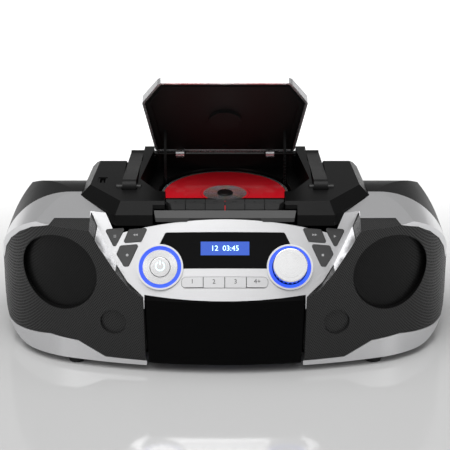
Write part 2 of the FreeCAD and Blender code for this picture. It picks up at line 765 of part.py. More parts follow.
def volume_knob():
    """Fluted knob with a flat turned face, on its shaft."""
    knob = panel_rod(knob_radius, dial_x, dial_z, 0.4, knob_reach)
    centre = V(dial_x, panel_y(dial_x, dial_z), dial_z)
    across = V(1, 0, 0)
    for index in range(24):
        angle = math.radians(15 * index)
        place = centre + across * ((knob_radius + 0.9) * math.cos(angle))
        place = place + panel_out.cross(across) * ((knob_radius + 0.9) * math.sin(angle))
        knob = knob.cut(Part.makeCylinder(1.5, knob_reach - 3.0, place - panel_out, panel_out))
    shaft = panel_rod(3.0, dial_x, dial_z, press_depth - 1.0, 1.0)
    solid = knob.fuse(shaft)
    return solid.makeFillet(0.6, top_edges(solid, dial_x, knob_reach))


def front_board():
    """Control board parallel to the panel, with the switches and the rotary encoder."""
    middle = V(0, panel_y(0, dial_z), dial_z)
    points = [(-104, 84), (104, 84), (104, 116), (-104, 116)]
    board = panel_prism(points, board_depth + 8.0, 0).cut(panel_prism(points, board_depth + 6.4, 0, 5.0))
    encoder = panel_tube(7.0, 3.0 + fit, dial_x, dial_z, board_depth + 6.4, 0)
    encoder = encoder.cut(panel_rod(20, dial_x, dial_z, press_depth, 30))
    return board.fuse(encoder).removeSplitter()


def lcd_module():
    points = [(-24, 99), (24, 99), (24, 117), (-24, 117)]
    return panel_prism(points, 6.5, 0).cut(panel_prism(points, 3.6, 0, 5.0))


# ---- cassette bay ----------------------------------------------------------------------------
def cassette_door():
    """Bowed door with two hinge ears at its lower corners."""
    door = shell(0, wall).common(front_prism(door_points(gap / 2), -far, -60))
    for side in (-1, 1):
        x0 = side * 60.0 - 2.0
        ear = rod(4.5, 4, (x0, door_pin_y, door_pin_z), (1, 0, 0))
        ear = ear.fuse(box(x0, x0 + 4, -half_depth, door_pin_y, door_pin_z - 4.5, door_pin_z + 4.5))
        bore = rod(pin_radius + fit, 8, (x0 - 2, door_pin_y, door_pin_z), (1, 0, 0))
        ear = ear.common(body(wall - 1)).cut(bore)
        door = door.fuse(ear)
    return door.removeSplitter()


def cassette_holder():
    """Two side channels and a shelf that carry the cassette on the back of the door."""
    y0 = holder_behind - half_depth
    y1 = y0 + cassette_depth + 1.2
    z0, z1 = 22.0, 60.0
    rails = []
    for side in (-1, 1):
        outer = box(cassette_half - 4, cassette_half + 2, y0, y1, z0, z1)
        room = box(0, cassette_half + 0.5, y0 + 1.5, y1 - 1.2, z0 + 1.5, z1 + 1)
        rail = outer.cut(room)
        rails.append(mirror(rail) if side < 0 else rail)
    shelf = box(-cassette_half - 2, cassette_half + 2, y0, y1, z0, z0 + 1.5)
    posts = [box(x - 3, x + 3, -half_depth, y0 + 0.5, z0 + 2, z0 + 30) for x in (-50.5, 50.5)]
    holder = shelf.fuse(rails + posts).cut(box(-40, 40, y0 + 3, y1 + 1, z0 - 1, z0 + 3))
    return holder.common(body(wall)).removeSplitter()


def bay_brackets():
    """Ears on the cabinet that hold the door's two hinge pins."""
    brackets = []
    for side in (-1, 1):
        x0 = side * 64.5 - 1.5
        ear = box(x0, x0 + 3, door_pin_y, chassis_y + 1, door_pin_z - 3.5, door_pin_z + 3.5)
        ear = ear.fuse(rod(3.5, 3, (x0, door_pin_y, door_pin_z), (1, 0, 0)))
        start = 57.0 if side > 0 else -66.0
        pin = rod(pin_radius, 9, (start, door_pin_y, door_pin_z), (1, 0, 0))
        brackets.append(ear.fuse(pin))
    return brackets


def tape_chassis():
    """Steel plate on four feet with the reel shafts, the head and the pinch roller."""
    plate = box(-67, 67, chassis_y, chassis_y + 1.6, front_floor + 0.5, 70)
    feet = [box(x - 4, x + 4, chassis_y, chassis_y + 14, front_floor, front_floor + 1.6)
            for x in (-55, 55)]
    plate = plate.fuse(feet + bay_brackets())
    plate = plate.cut(rod(1.1 + fit, 20, (flywheel_x, chassis_y - 5, flywheel_z), (0, 1, 0)))
    for side in (-1, 1):
        plate = plate.cut(rod(2.0 + fit, 20, (side * reel_x, chassis_y - 5, reel_z), (0, 1, 0)))
    plate = plate.cut(rod(pulley_radius + 2, 9, (motor_x, chassis_y - 4, motor_z), (0, 1, 0)))
    head = box(-8, 6, chassis_y - 7, chassis_y - 0.1, 59, 68)
    return Part.makeCompound([plate.removeSplitter(), head])


def reel(side):
    """Turntable with three splines that drive a cassette hub."""
    x = side * reel_x
    disc = rod(8.5, 1.6, (x, chassis_y - 2.2, reel_z), (0, 1, 0))
    hub = rod(3.2, 9.0, (x, chassis_y - 9.5, reel_z), (0, 1, 0))
    shaft = rod(2.0, 4.0, (x, chassis_y - 1.5, reel_z), (0, 1, 0))
    solid = disc.fuse([hub, shaft])
    for index in range(3):
        fin = box(-0.6, 0.6, -7.5, 0.0, 2.5, 4.6)
        fin.rotate(V(0, 0, 0), V(0, 1, 0), 120 * index)
        fin.translate(V(x, chassis_y - 1.5, reel_z))
        solid = solid.fuse(fin)
    return solid.removeSplitter()


def flywheel():
    disc = rod(flywheel_radius, 4, (flywheel_x, chassis_y + 3.0, flywheel_z), (0, 1, 0))
    groove_at = (flywheel_x, belt_y - 1, flywheel_z)
    disc = disc.cut(tube(flywheel_radius + 1, flywheel_radius - 1, 2.0, groove_at, (0, 1, 0)))
    return disc.fuse(rod(1.1, 20, (flywheel_x, chassis_y - 10.0, flywheel_z), (0, 1, 0)))


def tape_motor():
    can = rod(14.0, 24, (motor_x, belt_y + 2.5, motor_z), (0, 1, 0))
    return can


def motor_pulley():
    shaft = rod(1.0, 7, (motor_x, belt_y - 2.5, motor_z), (0, 1, 0))
    return shaft.fuse(rod(pulley_radius, 3.0, (motor_x, belt_y - 1.5, motor_z), (0, 1, 0)))


def belt_loop(grow, y, depth):
    """Loop round the flywheel's groove and the motor pulley."""
    big, small = flywheel_radius - 1 + grow, pulley_radius + grow
    run = math.hypot(motor_x - flywheel_x, motor_z - flywheel_z)
    tilt = math.acos((big - small) / run)
    turn = math.atan2(motor_z - flywheel_z, motor_x - flywheel_x)

    def at(cx, cz, r, angle):
        return V(cx + r * math.cos(angle), y, cz + r * math.sin(angle))

    a, b = turn + tilt, turn - tilt
    edges = [
        Part.LineSegment(at(flywheel_x, flywheel_z, big, a), at(motor_x, motor_z, small, a)).toShape(),
        Part.Arc(at(motor_x, motor_z, small, a), at(motor_x, motor_z, small, turn),
                 at(motor_x, motor_z, small, b)).toShape(),
        Part.LineSegment(at(motor_x, motor_z, small, b), at(flywheel_x, flywheel_z, big, b)).toShape(),
        Part.Arc(at(flywheel_x, flywheel_z, big, b), at(flywheel_x, flywheel_z, big, turn + math.pi),
                 at(flywheel_x, flywheel_z, big, a)).toShape(),
    ]
    return Part.Face(Part.Wire(edges)).extrude(V(0, depth, 0))


def drive_belt():
    return belt_loop(1.2, belt_y - 0.6, 1.2).cut(belt_loop(0.3, belt_y - 0.6, 1.2))


# ---- piano keys ------------------------------------------------------------------------------
def piano_key(index):
    """Cap with a sloping front, hanging on the shaft that runs under the row's back edge."""
    x0 = -key_half + key_pitch * index + 0.3
    x1 = x0 + key_pitch - 0.6
    section = [(key_front, key_low), (key_front + 1.6, key_crown - 0.8), (key_crown_y, key_crown),
               (key_crown_y + 0.8, key_tail), (key_back, key_tail), (key_back, key_tail - 3.0),
               (key_front, key_low - 2.0)]
    cap = side_prism(section, x0, x1)
    if index in (0, key_count - 1):
        corner = x0 if index == 0 else x1
        side = -1 if index == 0 else 1
        chamfer = plan_prism([(corner - side * 6, key_front - 1), (corner + side, key_front - 1),
                              (corner + side, key_front + 8)], 100, 200)
        cap = cap.cut(chamfer)
    web = box(x0 + 5, x1 - 5, key_pin_y - 4.5, key_pin_y + 1.0, key_pin_z, key_tail - 1)
    hub = rod(3.0, x1 - x0 - 4, (x0 + 2, key_pin_y, key_pin_z), (1, 0, 0))
    bore = rod(pin_radius + fit, key_pitch, (x0, key_pin_y, key_pin_z), (1, 0, 0))
    return cap.fuse([web, hub]).cut(bore).removeSplitter()


def key_shaft():
    return [rod(pin_radius, 2 * key_half + 7, (-key_half - 3.5, key_pin_y, key_pin_z), (1, 0, 0))]


# ---- disc mechanism ----------------------------------------------------------------------------
def compact_disc():
    return tube(disc_radius, 7.5, 1.2, (0, disc_y, disc_z), (0, 0, 1))


def spindle():
    """Chuck that carries the disc, on the spindle motor's shaft."""
    flange = rod(14.0, 1.4, (0, disc_y, disc_z - 1.4), (0, 0, 1))
    boss = rod(7.3, 2.6, (0, disc_y, disc_z), (0, 0, 1))
    boss = boss.makeChamfer(0.6, [e for e in boss.Edges if e.CenterOfMass.z > disc_z + 2.5])
    stem = rod(1.2, 16, (0, disc_y, disc_z - 17.4), (0, 0, 1))
    solid = flange.fuse([boss, stem])
    for index in range(3):
        angle = math.radians(120 * index + 90)
        centre = V(5.2 * math.cos(angle), disc_y + 5.2 * math.sin(angle), disc_z + 2.3)
        solid = solid.fuse(Part.makeSphere(1.0, centre))
    return solid


def cd_chassis():
    """Steel plate under the well on four posts, with the spindle motor and the sled rails."""
    plate_z = well_floor - 18.0
    plate = box(-48, 64, disc_y - 38, disc_y + 38, plate_z, plate_z + 2)
    plate = plate.cut(rod(1.2 + fit, 6, (0, disc_y, plate_z - 2), (0, 0, 1)))
    posts = [rod(3.0, 13.5, (x, y, plate_z + 2), (0, 0, 1))
             for x, y in ((-44, disc_y - 34), (60, disc_y - 34), (-44, disc_y + 24), (44, disc_y + 33))]
    rails = [rod(1.5, 56, (8, y, 104.5), (1, 0, 0)) for y in (disc_y - 14, disc_y + 14)]
    ends = [box(x, x + 3, y - 2.5, y + 2.5, plate_z + 2, 107) for x in (5, 61)
            for y in (disc_y - 14, disc_y + 14)]
    motor = tube(11.0, 1.2 + fit, 9.0, (0, disc_y, plate_z - 9.0), (0, 0, 1))
    return plate.fuse(posts + rails + ends + [motor]).removeSplitter()


def laser_sled():
    """Pick-up block that runs on two rails under the disc, with its lens in the slot."""
    block = box(17, 31, disc_y - 18, disc_y + 18, 102.0, 108.0)
    for y in (disc_y - 14, disc_y + 14):
        block = block.cut(rod(1.5 + fit, 30, (10, y, 104.5), (1, 0, 0)))
    lens = rod(3.5, 7.5, (24, disc_y, 107.5), (0, 0, 1))
    return block.fuse(lens)


# ---- lid ---------------------------------------------------------------------------------------
def opened(shape):
    """Swing a piece drawn with the lid closed into its open place."""
    shape = shape.copy()
    shape.rotate(V(0, hinge_y, hinge_z), V(1, 0, 0), -lid_open_deg)
    return shape


def lid_outline(z0, z1, grow):
    points = lid_plan()
    return plan_prism(points, z0, z1, grow, 6.0)


def lid_shell():
    """Outer cover: crowned top with a turned-down rim and two hinge knuckles."""
    low = island_top - lid_thick + 1.5
    crown_radius = 900.0
    crown = rod(crown_radius, 400, (-200, hinge_y - lid_length / 2, lid_top - crown_radius), (1, 0, 0))
    outer = lid_outline(low, lid_top + 10, 0).common(crown)
    crown_at = (-200, hinge_y - lid_length / 2, lid_top - crown_radius)
    inner_crown = rod(crown_radius - 2.0, 400, crown_at, (1, 0, 0))
    room = lid_outline(low - 1, lid_top + 10, -2.2).common(inner_crown)
    cover = outer.cut(room)
    cover = cover.cut(box(-80, 80, hinge_y - 5.5, hinge_y + 10, 100, hinge_z + 3.0))
    for side in (-1, 1):
        knuckle = rod(4.0, 8, (side * 44.0 - 4, hinge_y, hinge_z), (1, 0, 0))
        web = box(side * 44.0 - 4, side * 44.0 + 4, hinge_y - 4, hinge_y + 2.6, hinge_z, lid_top - 1.2)
        cover = cover.fuse(knuckle.fuse(web))
    pin_room = rod(pin_radius + fit, 2 * 80, (-80, hinge_y, hinge_z), (1, 0, 0))
    return cover.cut(pin_room).removeSplitter()


def tooth(radius, angle, width_low, width_high, height_low, height_high, x0, x1):
    """One straight-sided tooth on a circle about the lid hinge or the pinion, drawn at angle 0."""
    section = [(height_low, -width_low / 2), (height_high, -width_high / 2),
               (height_high, width_high / 2), (height_low, width_low / 2)]
    piece = side_prism([(-a, b) for a, b in section], x0, x1)
    piece.rotate(V(0, 0, 0), V(1, 0, 0), -math.degrees(angle))
    return piece


def polar(radius, angle_deg):
    a = math.radians(angle_deg)
    return V(0, hinge_y - radius * math.cos(a), hinge_z + radius * math.sin(a))


def lid_arc(side, toothed):
    """Curved strip about the hinge, at rest from the lid's underside down into its slot."""
    x0 = side * arm_x - 1.2
    inner, outer = arm_radius - 3.6, arm_radius - 1.1
    start, end = arm_low_deg, arm_high_deg
    middle = (start + end) / 2

    def at(r, a):
        return polar(r, a) + V(x0, 0, 0)

    edges = [
        Part.Arc(at(outer, start), at(outer, middle), at(outer, end)).toShape(),
        Part.LineSegment(at(outer, end), at(inner, end)).toShape(),
        Part.Arc(at(inner, end), at(inner, middle), at(inner, start)).toShape(),
        Part.LineSegment(at(inner, start), at(outer, start)).toShape(),
    ]
    strip = Part.Face(Part.Wire(edges)).extrude(V(2.4, 0, 0))
    if toothed:
        count = int((arm_radius * math.radians(lid_open_deg) / (math.pi * tooth_module))) + 4
        teeth = []
        for index in range(-1, count):
            angle = math.radians(mesh_angle_deg) + index * math.pi * tooth_module / arm_radius
            piece = tooth(arm_radius, angle, 1.6, 0.6, arm_radius - 1.6, arm_radius + 0.8, x0, x0 + 2.4)
            piece.translate(V(0, hinge_y, hinge_z))
            teeth.append(piece)
        strip = strip.fuse(teeth)
    return strip.removeSplitter()


def damper_pinion():
    """Small gear that the toothed arm turns; its grease damper slows the lid."""
    pitch = pinion_teeth * tooth_module / 2
    centre = polar(arm_radius + pitch + 0.25, mesh_angle_deg)
    x0 = arm_x - 1.6
    gear = rod(pitch - 1.4, 3.2, (x0, centre.y, centre.z), (1, 0, 0))
    facing = math.radians(mesh_angle_deg)
    for index in range(pinion_teeth):
        angle = facing + math.pi + (index + 0.5) * 2 * math.pi / pinion_teeth
        piece = tooth(pitch, angle, 1.6, 0.6, pitch - 1.9, pitch + 0.8, x0, x0 + 3.2)
        piece.translate(V(0, centre.y, centre.z))
        gear = gear.fuse(piece)
    axle = rod(1.2, 9.0, (x0, centre.y, centre.z), (1, 0, 0))
    return gear.fuse(axle).removeSplitter()


def damper_body():
    """Sealed damper pot on the side of the well that the pinion's axle runs in."""
    pitch = pinion_teeth * tooth_module / 2
    centre = polar(arm_radius + pitch + 0.25, mesh_angle_deg)
    return tube(4.6, 1.2 + fit, 6.0, (arm_x + 2.4, centre.y, centre.z), (1, 0, 0))


def lid_liner():
    """Inner panel with its stiffening rim, three screw bosses and the two arms."""
    low = island_top - lid_thick + 1.8
    panel = lid_outline(low, low + 1.6, -2.6)
    panel = panel.cut(box(-80, 80, hinge_y - 6.0, hinge_y + 10, 100, 200))
    rim = lid_outline(low - 1.2, low, -5.0).cut(lid_outline(low - 1.2, low, -8.0))
    rim = rim.cut(box(-80, 80, hinge_y - 14.0, hinge_y + 10, 100, 200))
    bosses = [rod(2.6, 1.4, (x, hinge_y - 11.0, low - 1.2), (0, 0, 1)) for x in (-25, 0, 25)]
    clamp = rod(15.0, 3.0, (0, disc_y, low - 3.0), (0, 0, 1))
    liner = opened(panel.fuse([rim, clamp] + bosses))
    return liner.fuse([lid_arc(-1, False), lid_arc(1, True)]).removeSplitter()


def lid_pins():
    pins = []
    for side in (-1, 1):
        start = 38.0 if side > 0 else -72.5
        pins.append(rod(pin_radius, 34.5, (start, hinge_y, hinge_z), (1, 0, 0)))
    return pins


# ---- handle --------------------------------------------------------------------------------------
def carry_handle():
    """Two flat arms and a round grip, folded back behind the lid."""
    run_y, run_z = grip_y - handle_pin_y, grip_z - handle_pin_z
    along = V(0, run_y, run_z)
    along.normalize()
    up = V(0, -along.z, along.y)
    pin = V(0, handle_pin_y, handle_pin_z)
    grip = V(0, grip_y, grip_z)
    arms = []
    for side in (-1, 1):
        corners = [pin - up * 7.5, grip - up * 6.5, grip + up * 6.5, pin + up * 7.5]
        arm = side_prism([(c.y, c.z) for c in corners], handle_inner, handle_inner + handle_arm)
        arm = arm.fuse(rod(7.5, handle_arm, (handle_inner, pin.y, pin.z), (1, 0, 0)))
        arm = arm.fuse(rod(grip_radius, handle_arm, (handle_inner, grip.y, grip.z), (1, 0, 0)))
        arm = arm.cut(rod(3.0 + fit, 60, (60, pin.y, pin.z), (1, 0, 0)))
        arms.append(mirror(arm) if side < 0 else arm)
    bar = rod(grip_radius - 0.5, 2 * handle_inner + 2, (-handle_inner - 1, grip.y, grip.z), (1, 0, 0))
    return bar.fuse(arms).removeSplitter()


def handle_pins():
    pins = []
    for side in (-1, 1):
        start = 76.6 if side > 0 else -98.6
        pins.append(rod(3.0, 22.0, (start, handle_pin_y, handle_pin_z), (1, 0, 0)))
    return pins


# ---- rear and inside -------------------------------------------------------------------------------
def battery_cover():
    """Cover that pulls straight off the back; two tongues at its foot enter the bay."""
    cover = shell(0, wall).common(rear_opening(0))
    for x in (-tongue_x, tongue_x):
        tongue = box(x - 3, x + 3, half_depth - tongue_reach, half_depth - 1,
                     cover_low + 0.8, cover_low + 3.2)
        cover = cover.fuse(tongue.common(body(wall - 1.5)))
    return cover.removeSplitter()


def battery_springs():
    """Six leaf contacts, each a strip bent outwards and back, on the inner wall of the battery bay."""
    back = bay_back
    low, high = contact_z - contact_half, contact_z + contact_half
    tip = back + contact_reach
    section = [(back, low), (back, high), (back + 0.4, high), (back + 0.4, low + 1.0),
               (tip - 1.0, contact_z), (back + 2.2, high - 2.2), (back + 2.6, high - 1.8),
               (tip, contact_z), (back + 1.2, low)]
    strips = []
    for index in range(contact_count):
        x = contact_pitch * (index - (contact_count - 1) / 2)
        strips.append(side_prism(section, x - contact_width / 2, x + contact_width / 2))
    return Part.makeCompound(strips)


def power_transformer():
    """Laminated core with its winding on a bobbin."""
    core = box(-170, -124, 8, 46, rear_floor, rear_floor + 38)
    window = [box(x, x + 8, 7, 47, 17, 38) for x in (-161, -141)]
    coil = box(-160.5, -133.5, 3, 51, 17.5, 37.5).cut(box(-152.8, -141.2, 7.8, 46.2, 16, 39))
    return Part.makeCompound([core.cut(window[0]).cut(window[1]), coil])


def main_board():
    board = box(-60, 110, -9, 54, 20.0, 21.6)
    legs = [rod(3.0, 20.0 - rear_floor, (x, y, rear_floor), (0, 0, 1))
            for x in (-54, 104) for y in (-4, 48)]
    chips = [box(x, x + 16, y, y + 16, 21.6, 24) for x, y in ((0, 0), (40, 10), (70, 30))]
    caps = [rod(5.0, 14, (x, y, 21.6), (0, 0, 1)) for x, y in ((-40, 25), (-25, 25), (-40, 8), (98, 20))]
    return board.fuse(legs + chips + caps).removeSplitter()


def mains_inlet():
    """Two-pin mains inlet: a figure-of-eight recess with its two contact pins."""
    block = box(-106, -86, 84, 108.6, 26, 46).common(body(0.2))
    recess = rod(4.4, 18, (-99.5, 95, 36), (0, 1, 0)).fuse(rod(4.4, 18, (-92.5, 95, 36), (0, 1, 0)))
    recess = recess.fuse(box(-99.5, -92.5, 95, 113, 31.6, 40.4))
    block = block.cut(recess)
    pins = [rod(1.2, 9.5, (x, 94.5, 36), (0, 1, 0)) for x in (-99.5, -92.5)]
    return block.fuse(pins).removeSplitter()


def jack_sockets():
    """Line-in and headphone sockets at the rear and the USB socket on the raised deck."""
    sockets = []
    for z in (30.0, 44.0):
        sockets.append(tube(4.0, 1.8, 26, (94, 82.5, z), (0, 1, 0)).common(body(0.1)))
    usb = usb_seat(0).common(box(-far, far, -far, far, 130, island_top - 0.6))
    x, y = usb_centre
    usb = usb.cut(box(x - 2.6, x + 2.6, y - 6.2, y + 6.2, 132, 200))
    tongue = box(x - 0.9, x + 0.9, y - 5.5, y + 5.5, 131.5, 142)
    return Part.makeCompound(sockets + [usb.fuse(tongue)])


def speaker_driver():
    """Woofer basket, cone seat and magnet."""
    x = woofer_x
    ring = tube(woofer_radius + 6, woofer_radius, 2.0, (x, baffle_y + 3.2, woofer_z), (0, 1, 0))
    ring = ring.common(body(skin + wall + 1.0))
    cone_seat = Part.makeCone(woofer_radius + 2, 16, 18, V(x, baffle_y + 5.0, woofer_z), V(0, 1, 0))
    cone_room = Part.makeCone(woofer_radius, 14, 18, V(x, baffle_y + 5.0, woofer_z), V(0, 1, 0))
    magnet = rod(22, 12, (x, baffle_y + 23.0, woofer_z), (0, 1, 0))
    return ring.fuse([cone_seat.cut(cone_room), magnet]).removeSplitter()


def speaker_cones():
    cones = []
    for side in (-1, 1):
        outer = Part.makeCone(woofer_radius - 1, 12, 14, V(woofer_x, baffle_y + 4, woofer_z), V(0, 1, 0))
        inner = Part.makeCone(woofer_radius - 2, 11, 14, V(woofer_x, baffle_y + 3.4, woofer_z), V(0, 1, 0))
        cap = rod(11, 1.0, (woofer_x, baffle_y + 16.5, woofer_z), (0, 1, 0))
        cone = outer.cut(inner).fuse(cap)
        cones.append(mirror(cone) if side < 0 else cone)
    return Part.makeCompound(cones)


def feet():
    pads = []
    for x in (-foot_x, foot_x):
        for y in (foot_front_y, foot_rear_y):
            pad = Part.makeCone(7.5, 8.5, foot_height, V(x, y, 0), V(0, 0, 1))
            pads.append(pad)
    return Part.makeCompound(pads)


def antenna_mast():
    """Knuckle on its pin and the thick tube of the aerial, lying on the rear ledge."""
    knuckle = rod(4.0, 8.0, (antenna_x, ledge_y + 5.0, antenna_z - 4.0), (0, 0, 1))
    mast = rod(mast_radius, mast_length, (antenna_x, ledge_y + 5.0, antenna_z), (-1, 0, 0))
    hole = rod(2.2 + fit, mast_length, (90.0, ledge_y + 5.0, antenna_z), (-1, 0, 0))
    pin_room = rod(pin_radius + fit, 20, (antenna_x, ledge_y + 5.0, antenna_z - 10), (0, 0, 1))
    return mast.cut(hole).fuse(knuckle).cut(pin_room)


def antenna_rod():
    tip = rod(2.2, mast_length - 6, (88.0, ledge_y + 5.0, antenna_z), (-1, 0, 0))
    knob = rod(3.2, 4.0, (antenna_x - mast_length - 1.0, ledge_y + 5.0, antenna_z), (-1, 0, 0))
    return tip.fuse(knob)


def antenna_bracket():
    """Fork that carries the aerial's upright pin."""
    low = box(91, 101, ledge_y - 1, ledge_y + 9.5, antenna_z - 6.6, antenna_z - 4.3)
    high = box(91, 101, ledge_y - 1, ledge_y + 9.5, antenna_z + 4.3, antenna_z + 6.6)
    back = box(91, 101, ledge_y - 2.0, ledge_y + 0.4, antenna_z - 6.6, antenna_z + 6.6)
    return low.fuse([high, back]).cut(antenna_pin())


def antenna_pin():
    return rod(pin_radius, 13.2, (antenna_x, ledge_y + 5.0, antenna_z - 6.6), (0, 0, 1))


# ---- the whole object ------------------------------------------------------------------------------
def hinge_pins():
    """Every steel pin and shaft that something turns on."""
    return Part.makeCompound(lid_pins() + handle_pins() + key_shaft() + [antenna_pin()])


def pair(piece):
    return Part.makeCompound([piece, mirror(piece)])


def nodes():
    yield "front_cabinet", front_cabinet()
    yield "rear_cabinet", rear_cabinet()
    yield "top_deck", top_deck()
    yield "silver_bezel", silver_bezel()
    right = grille()
    yield "right_grille", right
    yield "left_grille", mirror(right)
    yield "lower_trims", lower_trims()
    yield "key_trim", key_trim()
    yield "display_window", display_window()
    yield "lcd_module", lcd_module()
    yield "light_rings", light_rings()
    yield "standby_plate", standby_plate()
    yield "power_button", power_button()
    yield "volume_knob", volume_knob()
    for name, points in soft_buttons.items():
        yield name, panel_button(points, 1.4)
    for index in range(4):
        yield "preset_button_%d" % (index + 1), preset_button(index)
    for index in range(key_count):
        yield "cassette_key_%d" % (index + 1), piano_key(index)
    yield "front_board", front_board()
    yield "main_board", main_board()
    yield "cassette_door", cassette_door()
    yield "cassette_holder", cassette_holder()
    yield "tape_chassis", tape_chassis()
    yield "supply_reel", reel(-1)
    yield "takeup_reel", reel(1)
    yield "flywheel", flywheel()
    yield "tape_motor", Part.makeCompound([tape_motor(), motor_pulley()])
    yield "drive_belt", drive_belt()
    yield "compact_disc", compact_disc()
    yield "cd_spindle", spindle()
    yield "laser_sled", laser_sled()
    yield "cd_chassis", Part.makeCompound([cd_chassis(), damper_body()])
    yield "lid_shell", opened(lid_shell())
    yield "lid_liner", lid_liner()
    yield "damper_pinion", damper_pinion()
    yield "carry_handle", carry_handle()
    yield "hinge_pins", hinge_pins()
    yield "speaker_drivers", pair(speaker_driver())
    yield "speaker_cones", speaker_cones()
    yield "power_transformer", power_transformer()
    yield "mains_inlet", mains_inlet()
    yield "jack_sockets", jack_sockets()
    yield "battery_cover", battery_cover()
    yield "battery_springs", battery_springs()
    yield "antenna_mast", antenna_mast()
    yield "antenna_rod", antenna_rod()
    yield "feet", feet()
    yield "cabinet_screws", cabinet_screws()


os.makedirs("parts", exist_ok=True)
for node_name, shape in nodes():
    shape.exportStep("parts/" + node_name + ".step")
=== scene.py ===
# %% [markdown]
# # A portable stereo, from frame to finish
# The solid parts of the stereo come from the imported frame: cases, lid, keys, knob, reels.
# They already have their shapes and places, so they are loaded and left as they are.
# What is made here is how they look, plus the small printed and lit marks.

# %% Load the frame
import math
import bmesh
import bpy
from mathutils import Matrix, Vector


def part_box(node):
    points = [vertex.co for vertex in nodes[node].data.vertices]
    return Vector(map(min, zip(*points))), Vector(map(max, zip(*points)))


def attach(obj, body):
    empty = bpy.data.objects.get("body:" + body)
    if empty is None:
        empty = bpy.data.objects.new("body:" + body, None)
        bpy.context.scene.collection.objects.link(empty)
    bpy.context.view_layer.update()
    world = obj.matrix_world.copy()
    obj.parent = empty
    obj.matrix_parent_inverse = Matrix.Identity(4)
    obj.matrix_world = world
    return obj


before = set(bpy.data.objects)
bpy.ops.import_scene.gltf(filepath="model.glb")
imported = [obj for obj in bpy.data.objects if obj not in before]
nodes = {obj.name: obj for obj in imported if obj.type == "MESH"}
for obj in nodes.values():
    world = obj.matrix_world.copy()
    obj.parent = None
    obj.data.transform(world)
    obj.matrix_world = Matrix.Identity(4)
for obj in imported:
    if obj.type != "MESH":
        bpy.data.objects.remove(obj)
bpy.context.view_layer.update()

# %% [markdown]
# The camera stands well back with a long lens, so that the wide front keeps its proportions.
# A short lens close up would swell the middle of the bowed front.
# It looks down by about 22 degrees, enough to see the disc under the open lid.

# %% Camera
camera_data = bpy.data.cameras.new("camera")
camera_data.lens = 112.6
camera_data.sensor_width = 36.0
camera = bpy.data.objects.new("camera", camera_data)
camera.location = (0.0, -1.218, 0.600)
camera.rotation_euler = (math.radians(67.55), 0.0, 0.0)
bpy.context.scene.collection.objects.link(camera)
bpy.context.scene.camera = camera
print("camera at", tuple(camera.location))

# %% [markdown]
# Shader maths reads better as arithmetic than as a list of links.
# One small class wraps a socket, so that `1 - mask` makes the Math node by itself.
# The alternative is to wire each node by hand, which hides the formula.

# %% A socket that does arithmetic
class Signal:
    def __init__(self, sheet, socket):
        self.sheet, self.socket = sheet, socket

    def _maths(self, kind, first, second=None):
        return self.sheet.node("ShaderNodeMath", {"operation": kind}, {0: first, 1: second})

    def __add__(self, other): return self._maths("ADD", self, other)
    def __radd__(self, other): return self._maths("ADD", other, self)
    def __sub__(self, other): return self._maths("SUBTRACT", self, other)
    def __rsub__(self, other): return self._maths("SUBTRACT", other, self)
    def __mul__(self, other): return self._maths("MULTIPLY", self, other)
    def __truediv__(self, other): return self._maths("DIVIDE", self, other)
    def __lt__(self, other): return self._maths("LESS_THAN", self, other)
    def __gt__(self, other): return self._maths("GREATER_THAN", self, other)

    def apply(self, kind, other=None):
        return self._maths(kind, self, other)


# %% [markdown]
# Each finish is one material with its own small set of helpers.
# A single method adds any other node: settings go in first, because some of them change the sockets.

# %% A sheet of shader nodes
class Finish:
    def __init__(self, name):
        self.material = bpy.data.materials.new(name)
        self.material.use_nodes = True
        self.tree = self.material.node_tree
        self.shader = self.tree.nodes["Principled BSDF"]

    def put(self, socket, value):
        if isinstance(value, Signal):
            self.tree.links.new(value.socket, socket)
        elif value is not None:
            socket.default_value = value

    def node(self, kind, settings=None, inputs=None, output=0):
        made = self.tree.nodes.new(kind)
        for name, value in (settings or {}).items():
            if name == "stops":
                while len(made.color_ramp.elements) < len(value):
                    made.color_ramp.elements.new(1.0)
                for element, (place, colour) in zip(made.color_ramp.elements, value):
                    element.position, element.color = place, colour
            else:
                setattr(made, name, value)
        for name, value in (inputs or {}).items():
            self.put(made.inputs[name], value)
        return Signal(self, made.outputs[output])

    def place(self, centre=(0, 0, 0), turn=(0, 0, 0), size=(1, 1, 1)):
        here = self.node("ShaderNodeTexCoord", output="Object")
        moved = self.node("ShaderNodeMapping", {"vector_type": "POINT"},
                          {"Vector": here, "Location": tuple(-v for v in centre)})
        return self.node("ShaderNodeMapping", {"vector_type": "POINT"},
                         {"Vector": moved, "Rotation": turn, "Scale": size})

    def axes(self, place):
        made = self.tree.nodes.new("ShaderNodeSeparateXYZ")
        self.put(made.inputs[0], place)
        return [Signal(self, made.outputs[index]) for index in range(3)]

    def noise(self, scale, detail=3.0, place=None):
        return self.node("ShaderNodeTexNoise", None,
                         {"Vector": place or self.place(), "Scale": scale, "Detail": detail})

    def blend(self, mask, first, second):
        return self.node("ShaderNodeMix", {"data_type": "RGBA"}, {0: mask, 6: first, 7: second}, output=2)

    def bump(self, height, strength, distance):
        return self.node("ShaderNodeBump", None,
                         {"Height": height, "Strength": strength, "Distance": distance})

    def done(self, **sockets):
        for name, value in sockets.items():
            self.put(self.shader.inputs[name.replace("_", " ")], value)
        return self.material


def grey(value, blue=1.0):
    return (value, value, value * blue, 1.0)


print("shader helpers ready")

# %% [markdown]
# Black moulded cases have a fine spark-eroded grain, and handling polishes it unevenly.
# The grain is a small noise in the bump, and a large slow noise moves the roughness.

